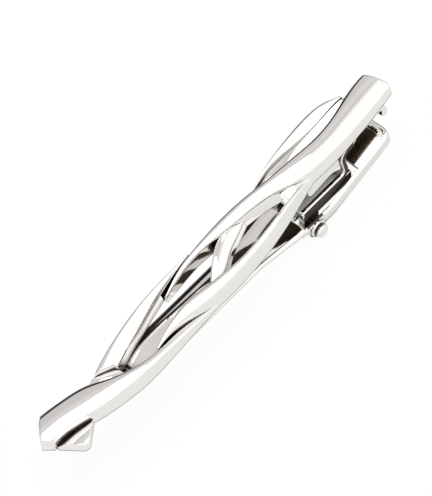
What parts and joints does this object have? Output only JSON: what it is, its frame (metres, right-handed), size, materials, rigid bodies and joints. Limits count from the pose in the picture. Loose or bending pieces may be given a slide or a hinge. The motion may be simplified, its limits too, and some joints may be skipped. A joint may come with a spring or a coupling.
{
  "type": "tie clip",
  "caption": "Slim openwork tie clip: interlaced domed ribbons on the front, a sprung toothed jaw lever behind it on a riveted bracket, and a thumb tab that opens the jaw.",
  "frame": {"origin": "middle of the jaw's grip, on the plane of the face's flat back", "axes": "+X along the face from the jaw towards the thumb tab, +Y across the face, +Z out of the decorated front"},
  "size_m": [0.06, 0.0087, 0.0105],
  "materials": {
    "face_plate": "mirror polished silver-toned plate",
    "clip_plate": "polished silver-toned plate with fine rolling marks",
    "rivet_plate": "polished silver-toned plate",
    "spring_wire": "drawn spring steel wire"
  },
  "bodies": {
    "face": {"front_face": "face_plate", "hinge_bracket": "clip_plate", "pivot_rivet": "rivet_plate", "torsion_spring": "spring_wire"},
    "lever": {"jaw_lever": "clip_plate"}
  },
  "joints": [
    {"name": "jaw_hinge", "type": "hinge", "parent": "face", "child": "lever", "pos_m": [0.0282, 0, -0.006], "axis": [0, -1, 0], "range_deg": [0, 11], "stiffness_Nm_per_rad": 0.03, "springref_deg": -114.59, "deforming": ["torsion_spring"]}
  ]
}
